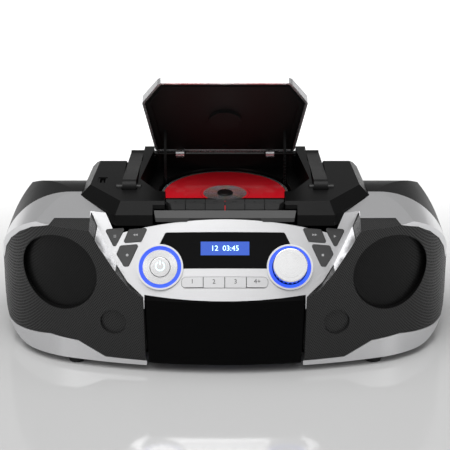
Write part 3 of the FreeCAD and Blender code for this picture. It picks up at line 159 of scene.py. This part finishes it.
# %% Moulded plastics
def moulded(name, colour, rough, grain, depth, shine=0.5):
    finish = Finish(name)
    wear = finish.noise(22.0, 4.0)
    dust = finish.noise(900.0, 1.0)
    mask = wear.apply("POWER", 2.0)
    return finish.done(
        Base_Color=finish.blend(mask, grey(colour), grey(colour * 1.5, 1.03)),
        Roughness=rough + (wear - 0.5) * 0.16 + (dust - 0.5) * 0.06,
        Specular_IOR_Level=shine,
        Normal=finish.bump(finish.noise(grain, 2.0), 0.5, depth))


case_black = moulded("case_black", 0.0038, 0.40, 2600.0, 0.00006, 0.14)
deck_black = moulded("deck_black", 0.0026, 0.34, 3000.0, 0.00004, 0.10)
liner_black = moulded("liner_black", 0.006, 0.50, 1500.0, 0.00008, 0.10)
key_grey = moulded("key_grey", 0.022, 0.34, 3200.0, 0.00003)
trim_grey = moulded("trim_grey", 0.020, 0.36, 3000.0, 0.00003, 0.3)
soft_grey = moulded("soft_grey", 0.028, 0.42, 2600.0, 0.00004)
foot_rubber = moulded("foot_rubber", 0.012, 0.78, 1400.0, 0.00012, 0.3)
acetal_white = moulded("acetal_white", 0.56, 0.42, 1800.0, 0.00004)
print("plastics", case_black.name, key_grey.name, acetal_white.name)

# %% [markdown]
# The cassette door and the display window are polished black.
# A polished moulding is never a true mirror.
# A slow ripple bends its reflections, and it carries faint hairlines.

# %% Polished black
def polished(name, colour, ripple):
    finish = Finish(name)
    slow = finish.noise(35.0, 1.0)
    streak = finish.noise(60.0, 6.0, finish.place(size=(1.0, 1.0, 14.0)))
    return finish.done(
        Base_Color=finish.blend(streak, grey(colour), grey(colour * 1.8, 1.1)),
        Roughness=0.09 + streak * 0.07,
        Specular_IOR_Level=0.05,
        Normal=finish.bump(slow, 0.35, ripple))


door_gloss = polished("door_gloss", 0.0008, 0.0006)
window_gloss = polished("window_gloss", 0.002, 0.0003)
print("polished", door_gloss.name, window_gloss.name)

# %% [markdown]
# The bezel is silver lacquer: tiny metal flakes under a clear coat.
# The flakes are a cell pattern that varies the roughness and the tone from one flake to the next.

# %% Silver lacquer
def lacquer(name, tone, rough):
    finish = Finish(name)
    flake = finish.node("ShaderNodeTexVoronoi", None,
                        {"Vector": finish.place(), "Scale": 2600.0}, output="Color")
    sparkle = finish.axes(flake)[0]
    cloud = finish.noise(14.0, 3.0)
    return finish.done(
        Base_Color=finish.blend(sparkle, grey(tone * 0.96, 1.01), grey(tone, 1.02)),
        Metallic=0.82,
        Roughness=rough + sparkle * 0.03 + (cloud - 0.5) * 0.05,
        Coat_Weight=0.25,
        Coat_Roughness=0.12,
        Normal=finish.bump(finish.noise(1500.0, 2.0), 0.08, 0.00001))


bezel_silver = lacquer("bezel_silver", 0.66, 0.30)
lid_silver = lacquer("lid_silver", 0.66, 0.26)
button_silver = lacquer("button_silver", 0.60, 0.32)
print("lacquer", bezel_silver.name)

# %% [markdown]
# The speaker grilles are sheet steel with staggered rows of punched holes.
# Cutting thousands of holes would make a very heavy mesh, so a repeating pattern dents them and paints them
# near-black: partly the dark driver behind, partly painted shade of the cavity.
# Two square lattices, one shifted by half a step, give the staggered rows.

# %% Perforated sheet
hole_pitch = 0.0016
row_pitch = hole_pitch * math.sqrt(3.0)   # a hole's six neighbours are then equally far away
hole_radius = 0.00046
dish_radius = 0.0345
cone_low, cone_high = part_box("speaker_cones")
woofer_x = cone_high.x - (cone_high.z - cone_low.z) / 2
woofer_z = (cone_low.z + cone_high.z) / 2


def lattice(finish, x, rise, shift):
    across = (x / hole_pitch + shift).apply("FRACT") - 0.5
    up = (rise / row_pitch + shift).apply("FRACT") - 0.5
    flat = across * hole_pitch
    tall = up * row_pitch
    return (flat * flat + tall * tall).apply("SQRT")


def perforated(name):
    finish = Finish(name)
    x, y, z = finish.axes(finish.place(centre=(-1.0, 0.0, -1.0)))
    rise = z - y
    nearest = lattice(finish, x, rise, 0.0).apply("MINIMUM", lattice(finish, x, rise, 0.5))
    hole = nearest < hole_radius
    edge = (nearest / hole_radius).apply("MINIMUM", 1.4)
    cloud = finish.noise(18.0, 3.0)
    side = (x - 1.0).apply("ABSOLUTE") - woofer_x
    height = (z - 1.0) - woofer_z
    # Inside the dish radius the sheet is painted darker: painted shade of the recessed dish.
    painted_dish_shade = (side * side + height * height).apply("SQRT") < dish_radius
    sheet = finish.blend(painted_dish_shade, grey(0.036), grey(0.005))
    return finish.done(
        # The holes are painted near-black: partly the dark driver behind, partly painted shade inside the
        # cabinet.
        Base_Color=finish.blend(hole, sheet, grey(0.0012)),
        Metallic=0.35,
        Specular_IOR_Level=0.3,
        Roughness=0.36 + hole * 0.5 + (cloud - 0.5) * 0.12,
        Normal=finish.bump(edge, 0.6, 0.00015))


grille_black = perforated("grille_black")
print("holes every", hole_pitch * 1000, "mm, woofer at", round(woofer_x, 4), round(woofer_z, 4))

# %% [markdown]
# The dials are turned: a lathe leaves fine rings about the dial's centre.
# The pattern's coordinates are turned to the panel's slope, so that the rings stay round on the face.
# The dial centre comes from the frame, by measuring the pieces.

# %% Turned metal
panel_slope = math.radians(33.0)
panel_out = Vector((0.0, -math.cos(panel_slope), math.sin(panel_slope)))


def middle(node):
    low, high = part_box(node)
    return (low + high) / 2


def turned(name, centre, tone, rough, ring_scale):
    finish = Finish(name)
    place = finish.place(centre=tuple(centre), turn=(-(math.pi / 2 - panel_slope), 0.0, 0.0))
    x, y, _ = finish.axes(place)
    radius = (x * x + y * y).apply("SQRT")
    together = finish.node("ShaderNodeCombineXYZ", None, {0: radius * ring_scale, 1: 0.0, 2: 0.0})
    rings = finish.node("ShaderNodeTexNoise", None, {"Vector": together, "Scale": 1.0, "Detail": 5.0})
    return finish.done(
        Base_Color=finish.blend(rings, grey(tone * 0.84), grey(tone, 1.01)),
        Metallic=1.0,
        Roughness=rough + (rings - 0.5) * 0.22,
        Anisotropic=0.6,
        Normal=finish.bump(rings, 0.5, 0.00006))


knob_centre = middle("volume_knob")
power_centre = middle("power_button")
knob_metal = turned("knob_metal", knob_centre, 0.72, 0.17, 2600.0)
standby_metal = turned("standby_metal", power_centre, 0.70, 0.25, 2600.0)
print("dials at", [round(v, 3) for v in power_centre], [round(v, 3) for v in knob_centre])

# %% [markdown]
# Light rings and the display are lit from behind.
# The light is uneven along a light pipe, brighter near its lamps, so a soft noise varies the glow.

# %% Lit plastics
def glowing(name, low, high, strength):
    finish = Finish(name)
    spread = finish.noise(70.0, 2.0)
    return finish.done(
        Base_Color=grey(0.02),
        Roughness=0.25 + spread * 0.1,
        Emission_Color=finish.blend(spread, low, high),
        Emission_Strength=strength)


ring_blue = glowing("ring_blue", (0.004, 0.035, 0.80, 1.0), (0.03, 0.14, 1.0, 1.0), 1.25)
digit_cyan = glowing("digit_cyan", (0.45, 0.9, 1.0, 1.0), (0.7, 1.0, 1.0, 1.0), 2.2)


cells_per_metre = 1600.0
cell_fill = 0.86          # the rest of each cell is the dark line beside it


def display_cells(name):
    finish = Finish(name)
    x, _, z = finish.axes(finish.place())
    column = (x * cells_per_metre).apply("FRACT") > cell_fill
    row = (z * cells_per_metre).apply("FRACT") > cell_fill
    line = column.apply("MAXIMUM", row)
    return finish.done(
        Base_Color=grey(0.01),
        Roughness=0.16 + line * 0.1,
        Emission_Color=finish.blend(line, (0.015, 0.10, 0.62, 1.0), (0.010, 0.06, 0.42, 1.0)),
        Emission_Strength=1.1)


lcd_blue = display_cells("lcd_blue")
print("lit", ring_blue.name, lcd_blue.name)

# %% [markdown]
# The disc has a red printed label inside a bare silver rim and a clear hub.
# Everything on it is round, so one radius from the disc's middle picks the zone.
# The bare metal shows rainbow streaks of diffracted light; here they are painted into its colour as a ramp
# that turns with the angle, a painted reflection.

# %% The disc
disc_centre = middle("compact_disc")
label_inner, label_outer = 0.0205, 0.0575
ring_inner, ring_outer = 0.0228, 0.0232     # thin dark ring printed round the hub
# Painted rainbow: the streaks stand in for light diffracted by the bare metal.
painted_streaks = 6                                # streaks in one turn


def disc_finish(name):
    finish = Finish(name)
    x, y, z = finish.axes(finish.place(centre=tuple(disc_centre)))
    radius = (x * x + y * y).apply("SQRT")
    printed = (radius > label_inner) * (radius < label_outer) * (z > 0.0)
    band = (radius > ring_inner) * (radius < ring_outer)
    angle = finish.node("ShaderNodeMath", {"operation": "ARCTAN2"}, {0: y, 1: x})
    sweep = (angle * (painted_streaks / (2 * math.pi)) + radius * 9.0).apply("FRACT")
    # Painted reflection: rainbow colours from diffraction, set into the base colour.
    painted_rainbow = finish.node("ShaderNodeValToRGB", {"stops": [
        (0.0, (0.72, 0.72, 0.76, 1)), (0.3, (0.62, 0.74, 0.80, 1)), (0.5, (0.72, 0.78, 0.66, 1)),
        (0.7, (0.82, 0.70, 0.64, 1)), (1.0, (0.72, 0.72, 0.76, 1))]}, {0: sweep})
    ink = finish.blend(finish.noise(400.0, 2.0), (0.62, 0.004, 0.012, 1), (0.70, 0.008, 0.02, 1))
    inked = finish.blend(band, ink, (0.12, 0.0, 0.004, 1))
    grooves = finish.node("ShaderNodeTexWave", {"wave_type": "RINGS", "rings_direction": "Z"},
                          {"Vector": finish.place(centre=tuple(disc_centre)), "Scale": 900.0})
    return finish.done(
        Base_Color=finish.blend(printed, painted_rainbow, inked),
        Metallic=0.9 - printed * 0.9,
        Roughness=0.14 + printed * 0.16,
        Coat_Weight=printed * 0.5,
        Coat_Roughness=0.08,
        Normal=finish.bump(grooves, 0.1, 0.00001))


disc_red = disc_finish("disc_red")
print("disc centre", [round(v, 4) for v in disc_centre])

# %% [markdown]
# Steel pressings, the board and the cones sit inside, seen when a door or the lid is open.
# Rolled steel has streaks along one direction; a board has copper tracks under green lacquer.

# %% Inner finishes
def rolled_steel(name, tone, rough):
    finish = Finish(name)
    streaks = finish.noise(160.0, 5.0, finish.place(size=(0.06, 1.0, 1.0)))
    return finish.done(
        Base_Color=finish.blend(streaks, grey(tone * 0.75), grey(tone)),
        Metallic=1.0, Roughness=rough + (streaks - 0.5) * 0.25,
        Normal=finish.bump(streaks, 0.2, 0.00004))


def blackened(name):
    finish = Finish(name)
    worn = finish.noise(240.0, 4.0)
    return finish.done(
        Base_Color=finish.blend(worn, grey(0.012), grey(0.03)),
        Metallic=0.7, Roughness=0.32 + worn * 0.2,
        Normal=finish.bump(worn, 0.15, 0.00003))


def board_finish(name):
    finish = Finish(name)
    x = finish.axes(finish.place())[0]
    tracks = ((x * 260.0).apply("FRACT") > 0.62) * (finish.noise(90.0, 0.0) > 0.48)
    return finish.done(
        Base_Color=finish.blend(tracks, (0.012, 0.085, 0.03, 1), (0.03, 0.16, 0.06, 1)),
        Roughness=0.35 - tracks * 0.1, Normal=finish.bump(tracks, 0.3, 0.00008))


def pulp(name):
    finish = Finish(name)
    fibre = finish.noise(900.0, 6.0)
    return finish.done(
        Base_Color=finish.blend(fibre, grey(0.012), grey(0.035)),
        Roughness=0.75 + fibre * 0.15, Normal=finish.bump(fibre, 0.6, 0.0002))


plain_steel = rolled_steel("plain_steel", 0.60, 0.30)
aerial_chrome = rolled_steel("aerial_chrome", 0.82, 0.14)
pin_black = blackened("pin_black")
iron_varnish = rolled_steel("iron_varnish", 0.16, 0.50)
board_green = board_finish("board_green")
cone_paper = pulp("cone_paper")
print("inner", plain_steel.name, board_green.name)

# %% [markdown]
# Every part of the frame now gets its finish, one table, part by part.
# A table keeps a forgotten part from showing its plain grey: the check below prints any that is missing.

# %% Dress the frame
dress = {
    case_black: ["front_cabinet", "rear_cabinet", "battery_cover", "carry_handle", "jack_sockets",
                 "mains_inlet", "cassette_holder", "cd_spindle"],
    deck_black: ["top_deck"],
    liner_black: ["lid_liner"],
    door_gloss: ["cassette_door"],
    window_gloss: ["display_window"],
    bezel_silver: ["silver_bezel", "lower_trims"],
    lid_silver: ["lid_shell"],
    grille_black: ["left_grille", "right_grille"],
    lcd_blue: ["lcd_module"],
    ring_blue: ["light_rings"],
    standby_metal: ["standby_plate", "power_button"],
    knob_metal: ["volume_knob"],
    trim_grey: ["key_trim"],
    board_green: ["front_board", "main_board"],
    plain_steel: ["tape_chassis", "cd_chassis", "tape_motor", "speaker_drivers",
                  "battery_springs", "cabinet_screws", "flywheel"],
    pin_black: ["hinge_pins"],
    aerial_chrome: ["antenna_mast", "antenna_rod"],
    acetal_white: ["supply_reel", "takeup_reel", "damper_pinion", "laser_sled"],
    foot_rubber: ["feet", "drive_belt"],
    cone_paper: ["speaker_cones"],
    disc_red: ["compact_disc"],
    iron_varnish: ["power_transformer"],
    button_silver: [name for name in nodes if name.startswith("preset_button_")],
    key_grey: [name for name in nodes if name.startswith("cassette_key_")],
    soft_grey: [name for name in nodes if name.endswith("_button") and name != "power_button"],
}
for material, names in dress.items():
    for name in names:
        slots = nodes[name].material_slots
        if not slots:
            nodes[name].data.materials.append(material)
        for place in slots:
            place.material = material
print("undressed", sorted(set(nodes) - {n for names in dress.values() for n in names}))

# %% [markdown]
# Printed marks are thin flat shapes that lie on a part.
# A ray dropped on the part finds the exact point and slope, so a mark never floats or sinks.
# Each mark is made flat at the origin, then laid down by the slope it lands on.

# %% Lay a mark on a part
ink_black = moulded("ink_black", 0.006, 0.5, 2500.0, 0.00001)
ink_grey = moulded("ink_grey", 0.30, 0.5, 2500.0, 0.00001)
mark_lift = 0.00008
stand_off = 0.03          # a ray to a mark starts this far outside the part


def landing(node, start, along, right=Vector((1.0, 0.0, 0.0))):
    found, spot, normal, _ = nodes[node].ray_cast(Vector(start), Vector(along).normalized())
    assert found, "nothing under the mark on " + node
    if normal.dot(Vector(along)) > 0:
        normal = -normal
    side = (right - normal * right.dot(normal)).normalized()
    up = normal.cross(side)
    turn = Matrix((side, up, normal)).transposed().to_4x4()
    return Matrix.Translation(spot + normal * mark_lift) @ turn


def lay(name, shape, where, body, material):
    shape.transform(where)
    bmesh.ops.recalc_face_normals(shape, faces=shape.faces)
    mesh = bpy.data.meshes.new(name)
    shape.to_mesh(mesh)
    shape.free()
    mesh.materials.append(material)
    piece = bpy.data.objects.new(name, mesh)
    bpy.context.scene.collection.objects.link(piece)
    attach(piece, body)
    return piece


print("marks lift", mark_lift)

# %% [markdown]
# The marks on the keys are the usual transport signs: triangles, bars, a dot and a square.
# Each is a polygon turned into a thin plate by an extrude.

# %% Sign shapes
sign_thick = 0.00005


def raise_faces(shape, faces):
    made = bmesh.ops.extrude_face_region(shape, geom=faces)
    raised = [v for v in made["geom"] if isinstance(v, bmesh.types.BMVert)]
    bmesh.ops.translate(shape, verts=raised, vec=(0.0, 0.0, sign_thick))


def plate(shape, points):
    raise_faces(shape, [shape.faces.new([shape.verts.new((x, y, 0.0)) for x, y in points])])


def arrow(shape, x, size, way=1):
    tail, tip, half = x - way * size / 2, x + way * size / 2, size / 2
    plate(shape, [(tail, -half), (tip, 0.0), (tail, half)][::way])


def bar(shape, x, y, wide, tall):
    plate(shape, [(x - wide / 2, y - tall / 2), (x + wide / 2, y - tall / 2),
                  (x + wide / 2, y + tall / 2), (x - wide / 2, y + tall / 2)])


def ring(shape, radius, width, start, end, steps=40):
    for step in range(steps):
        a = math.radians(start + (end - start) * step / steps)
        b = math.radians(start + (end - start) * (step + 1) / steps)
        corners = [(radius - width, a), (radius, a), (radius, b), (radius - width, b)]
        plate(shape, [(r * math.cos(angle), r * math.sin(angle)) for r, angle in corners])
    bmesh.ops.remove_doubles(shape, verts=shape.verts, dist=1e-6)


def dot(shape, radius):
    bmesh.ops.create_circle(shape, cap_ends=True, segments=24, radius=radius)
    raise_faces(shape, list(shape.faces))


def sign(kind, size):
    shape = bmesh.new()
    if kind == "record":
        dot(shape, size / 2)
    elif kind == "play":
        arrow(shape, 0.0, size)
    elif kind in ("rewind", "forward"):
        way = 1 if kind == "forward" else -1
        for x in (-size * 0.45, size * 0.45):
            arrow(shape, x, size * 0.9, way)
    elif kind == "eject":
        bar(shape, 0.0, -size * 0.42, size, size * 0.18)
        plate(shape, [(-size / 2, -size * 0.2), (size / 2, -size * 0.2), (0.0, size * 0.45)])
    elif kind == "pause":
        for x in (-size * 0.28, size * 0.28):
            bar(shape, x, 0.0, size * 0.24, size)
    elif kind == "stop":
        bar(shape, 0.0, 0.0, size * 0.85, size * 0.85)
    elif kind == "menu":
        for y in (-size * 0.38, 0.0, size * 0.38):
            bar(shape, 0.0, y, size, size * 0.16)
    return shape


print("signs ready")

# %% [markdown]
# Six keys, left to right: record, play, back, forward, stop with eject, pause.
# The mark sits on each key's sloping top.

# %% Mark the keys
sign_back = 0.0056        # from the key's front edge to the mark
key_signs = ["record", "play", "rewind", "forward", "eject", "pause"]
for index, kind in enumerate(key_signs):
    node = "cassette_key_%d" % (index + 1)
    low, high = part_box(node)
    start = ((low.x + high.x) / 2, low.y + sign_back, high.z + stand_off)
    lay(node + "_sign", sign(kind, 0.0026), landing(node, start, (0, 0, -1)), "key_%d" % (index + 1),
        ink_black)
print("key signs", len(key_signs))

# %% [markdown]
# The soft buttons on the leaning panel carry small pale signs.

# %% Mark the soft buttons
button_signs = {"source_button": "menu", "previous_button": "rewind", "menu_button": "record",
                "next_button": "forward", "play_button": "play", "stop_button": "stop"}
for node, kind in button_signs.items():
    centre = middle(node)
    where = landing(node, centre + panel_out * stand_off, -panel_out)
    lay(node + "_sign", sign(kind, 0.0024), where, node.replace("_button", ""), ink_grey)
print("button signs", len(button_signs))

# %% [markdown]
# Numbers are text turned into a mesh, so that each is a shape like every other mark.
# The four preset buttons carry 1 to 4, the usual numbers for stored stations.

# %% Numbers
def number_shape(text, height):
    curve = bpy.data.curves.new("number", "FONT")
    curve.body = text
    curve.size = height
    curve.align_x = "CENTER"
    curve.align_y = "CENTER"
    curve.extrude = sign_thick / 2
    curve.resolution_u = 3
    holder = bpy.data.objects.new("number", curve)
    mesh = bpy.data.meshes.new_from_object(holder)
    shape = bmesh.new()
    shape.from_mesh(mesh)
    bmesh.ops.remove_doubles(shape, verts=shape.verts, dist=1e-7)
    bpy.data.objects.remove(holder)
    bpy.data.curves.remove(curve)
    bpy.data.meshes.remove(mesh)
    return shape


for index in range(4):
    node = "preset_button_%d" % (index + 1)
    where = landing(node, middle(node) + panel_out * stand_off, -panel_out)
    text = str(index + 1) + ("+" if index == 3 else "")
    body = "preset_%d" % (index + 1)
    lay(node + "_number", number_shape(text, 0.0056), where, body, ink_black)
print("numbers 1 to 4")

# %% [markdown]
# The display shows a track number and a time in lit digits.
# On the real stereo they shine through the smoked window; here they lie on the window's face.
# The window leans, so rays are tried one after another for the one that lands at the wanted height.

# %% Display
screen_z = 0.1083
screen_half = (0.0214, 0.0051)
digit_lift = 0.00012      # the digits stand clear of the screen under them


def window_point(x, z):
    best = None
    for step in range(80):
        start = Vector((x, -0.16 + step * 0.002, z)) + panel_out * 0.08
        found, spot, normal, _ = nodes["display_window"].ray_cast(start, -panel_out)
        if found and (best is None or abs(spot.z - z) < abs(best[0].z - z)):
            best = (spot, start)
    return landing("display_window", best[1], -panel_out)


screen = bmesh.new()
bar(screen, 0.0, 0.0, 2 * screen_half[0], 2 * screen_half[1] / math.cos(panel_slope))
lay("display_screen", screen, window_point(0.0, screen_z), "cabinet", lcd_blue)
digits = number_shape("12  03:45", 0.0066)
bmesh.ops.translate(digits, verts=digits.verts, vec=(0.0, 0.0, digit_lift))
lay("display_digits", digits, window_point(0.0, screen_z), "cabinet", digit_cyan)
print("screen", screen_half)

# %% [markdown]
# The standby button carries the power sign: an open ring with a bar through its gap.

# %% Standby sign
power_sign = bmesh.new()
ring(power_sign, 0.0042, 0.0008, 120.0, 420.0)
bar(power_sign, 0.0, 0.0030, 0.0008, 0.0036)
lay("power_sign", power_sign, landing("power_button", power_centre + panel_out * stand_off, -panel_out),
    "standby", digit_cyan)
print("power sign")

# %% [markdown]
# A large pale floor is painted darker near the stereo as painted shade, and is lit by its own emission
# further out until it is as white as the room.
# It keeps a slight gloss, so the stereo has a soft reflection under it.

# %% Floor and room
fade_start = 0.22         # the floor starts to brighten this far out
fade_run = 1 / 2.4


def floor_finish():
    finish = Finish("floor_white")
    x, y, _ = finish.axes(finish.place(centre=(0.0, -0.12, 0.0), size=(0.75, 1.0, 1.0)))
    far_off = ((x * x + y * y).apply("SQRT") - fade_start) / fade_run
    painted_light_fade = far_off.apply("MINIMUM", 1.0).apply("MAXIMUM", 0.0)
    # Painted shade near the stereo, and painted light from emission further out.
    return finish.done(Base_Color=finish.blend(painted_light_fade, grey(0.50), grey(0.95)),
                       Emission_Color=finish.blend(painted_light_fade, grey(0.0), grey(0.30)), Emission_Strength=1.0,
                       Roughness=0.07 + painted_light_fade * 0.25, Specular_IOR_Level=0.8)


floor_shape = bmesh.new()
bmesh.ops.create_grid(floor_shape, x_segments=4, y_segments=4, size=6.0)
floor_mesh = bpy.data.meshes.new("floor")
floor_shape.to_mesh(floor_mesh)
floor_shape.free()
floor_mesh.materials.append(floor_finish())
floor = bpy.data.objects.new("floor", floor_mesh)
floor.location.z = -0.0002
bpy.context.scene.collection.objects.link(floor)

room = bpy.data.worlds.new("room")
room.use_nodes = True
wall_light = room.node_tree.nodes["Background"]
wall_light.inputs["Color"].default_value = (1.0, 1.0, 1.0, 1.0)
wall_light.inputs["Strength"].default_value = 0.30
seen_wall = room.node_tree.nodes.new("ShaderNodeBackground")
seen_wall.inputs["Color"].default_value = (1.0, 1.0, 1.0, 1.0)
seen_wall.inputs["Strength"].default_value = 1.0
ray = room.node_tree.nodes.new("ShaderNodeLightPath")
chosen = room.node_tree.nodes.new("ShaderNodeMixShader")
room.node_tree.links.new(ray.outputs["Is Camera Ray"], chosen.inputs[0])
room.node_tree.links.new(wall_light.outputs[0], chosen.inputs[1])
room.node_tree.links.new(seen_wall.outputs[0], chosen.inputs[2])
room.node_tree.links.new(chosen.outputs[0], room.node_tree.nodes["World Output"].inputs[0])
bpy.context.scene.world = room
bpy.context.scene.view_settings.view_transform = "Standard"
print("floor and room")

# %% [markdown]
# A wide skylight and four soft boxes: one overhead, one square to the panel for the dials, two at the front.
# Small lamps would give hard points on the gloss, and large boxes give long smooth ones.

# %% Lights
def soft_box(name, place, aim, size, power):
    data = bpy.data.lights.new(name, "AREA")
    data.shape = "RECTANGLE"
    data.size, data.size_y = size
    data.energy = power
    lamp = bpy.data.objects.new(name, data)
    lamp.location = place
    lamp.rotation_euler = (Vector(aim) - Vector(place)).to_track_quat("-Z", "Y").to_euler()
    bpy.context.scene.collection.objects.link(lamp)


sun = bpy.data.lights.new("skylight", "SUN")
sun.energy = 2.2
sun.angle = math.radians(50.0)
sun_lamp = bpy.data.objects.new("skylight", sun)
sun_lamp.rotation_euler = (math.radians(12.0), math.radians(-8.0), 0.0)
bpy.context.scene.collection.objects.link(sun_lamp)
soft_box("overhead", (0.0, 0.1, 1.3), (0.0, 0.0, 0.05), (1.2, 0.8), 5.0)
soft_box("panel_front", (0.0, -1.0, 1.0), (0.0, -0.08, 0.09), (0.9, 0.35), 1.0)
soft_box("front_left", (-1.0, -1.1, 0.9), (0.0, 0.0, 0.08), (0.5, 0.9), 2.6)
soft_box("front_right", (1.1, -0.9, 0.7), (0.0, 0.0, 0.08), (0.4, 0.8), 1.6)
print("skylight and four soft boxes")
